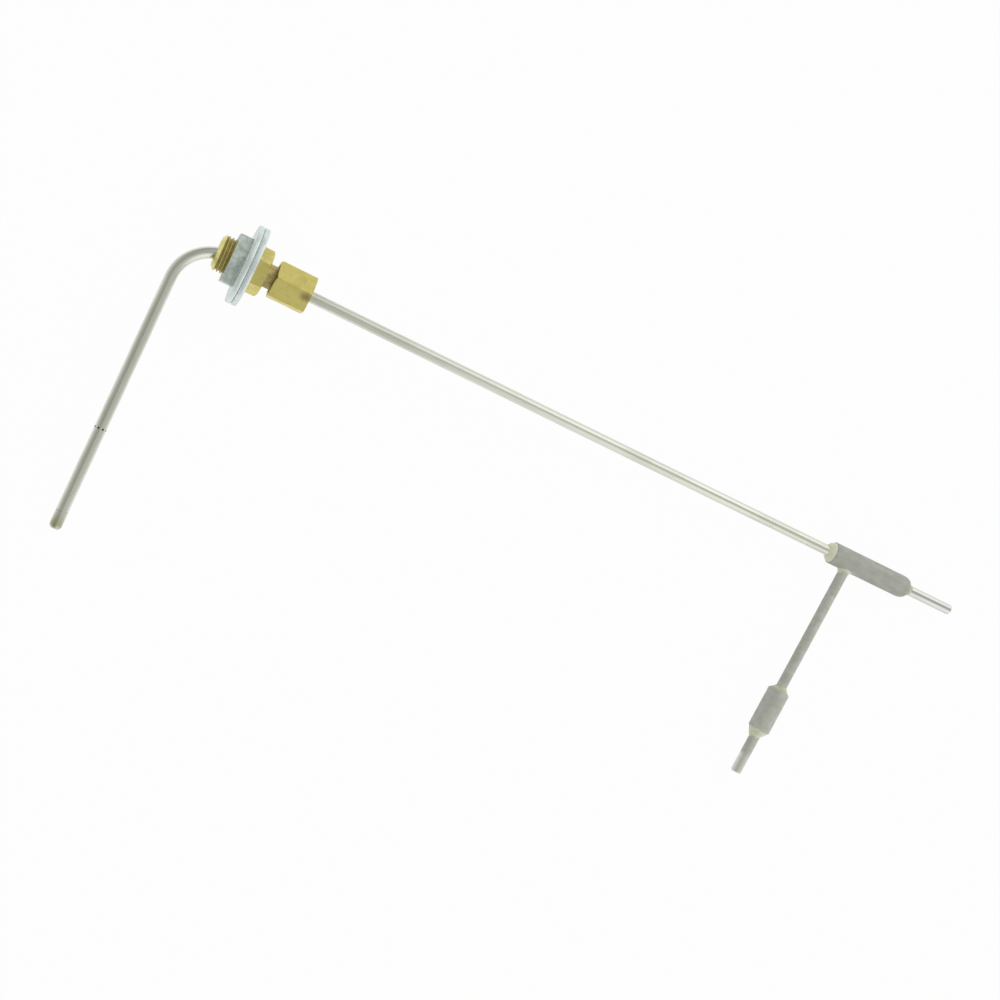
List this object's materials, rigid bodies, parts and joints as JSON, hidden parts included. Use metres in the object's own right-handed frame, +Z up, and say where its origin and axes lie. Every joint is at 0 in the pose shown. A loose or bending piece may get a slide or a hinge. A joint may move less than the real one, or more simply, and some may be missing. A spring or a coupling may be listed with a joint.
{
  "type": "pitot tube",
  "caption": "Slim pitot-static probe: L-shaped double-wall steel tube with a perforated nose, sliding brass mounting gland with washers, and brazed total and static pressure hose ports.",
  "frame": {"origin": "on the stem's axis, in the plane where the two gland washers meet and a duct wall is clamped", "axes": "+X runs along the stem from the nose end to the total port; the nose and the static branch point along -Y; +Z is up as the tube lies flat"},
  "size_m": [0.2425, 0.0891, 0.021],
  "materials": {
    "polished_steel": "bright drawn stainless tube, lightly scratched",
    "inner_steel": "drawn stainless tube",
    "tinted_steel": "satin stainless, straw and brown heat tint",
    "blasted_steel": "bead blasted, matte grey",
    "silver_braze": "silver braze, pale yellow, satin",
    "nose_braze": "silver braze dressed flush, dulled by heat",
    "brass": "machined brass, satin",
    "brass_inner": "machined brass, clean",
    "dull_zinc": "zinc plated steel, dulled and mottled",
    "bright_zinc": "zinc plated steel, bright with a blue cast"
  },
  "bodies": {
    "gland": {"male_connector": "brass", "compression_nut": "brass", "lock_nut": "dull_zinc", "inner_washer": "bright_zinc", "outer_washer": "bright_zinc"},
    "ferrule": {"ferrule": "brass_inner"},
    "probe": {"stem_tube": "polished_steel", "total_tube": "inner_steel", "nose_tip": "tinted_steel", "nose_braze": "nose_braze", "tee_sleeve": "blasted_steel", "total_port_tube": "polished_steel", "branch_tube": "blasted_steel", "static_sleeve": "blasted_steel", "static_port_tube": "polished_steel", "stem_braze": "silver_braze", "total_port_braze": "silver_braze", "branch_braze": "silver_braze", "static_inner_braze": "silver_braze", "static_outer_braze": "silver_braze"}
  },
  "joints": [
    {"name": "probe_turn", "type": "hinge", "parent": "gland", "child": "ferrule", "pos_m": [0, 0, 0], "axis": [1, 0, 0], "continuous": true},
    {"name": "insertion_slide", "type": "slide", "parent": "ferrule", "child": "probe", "axis": [-1, 0, 0], "range_m": [0, 0.162]}
  ]
}
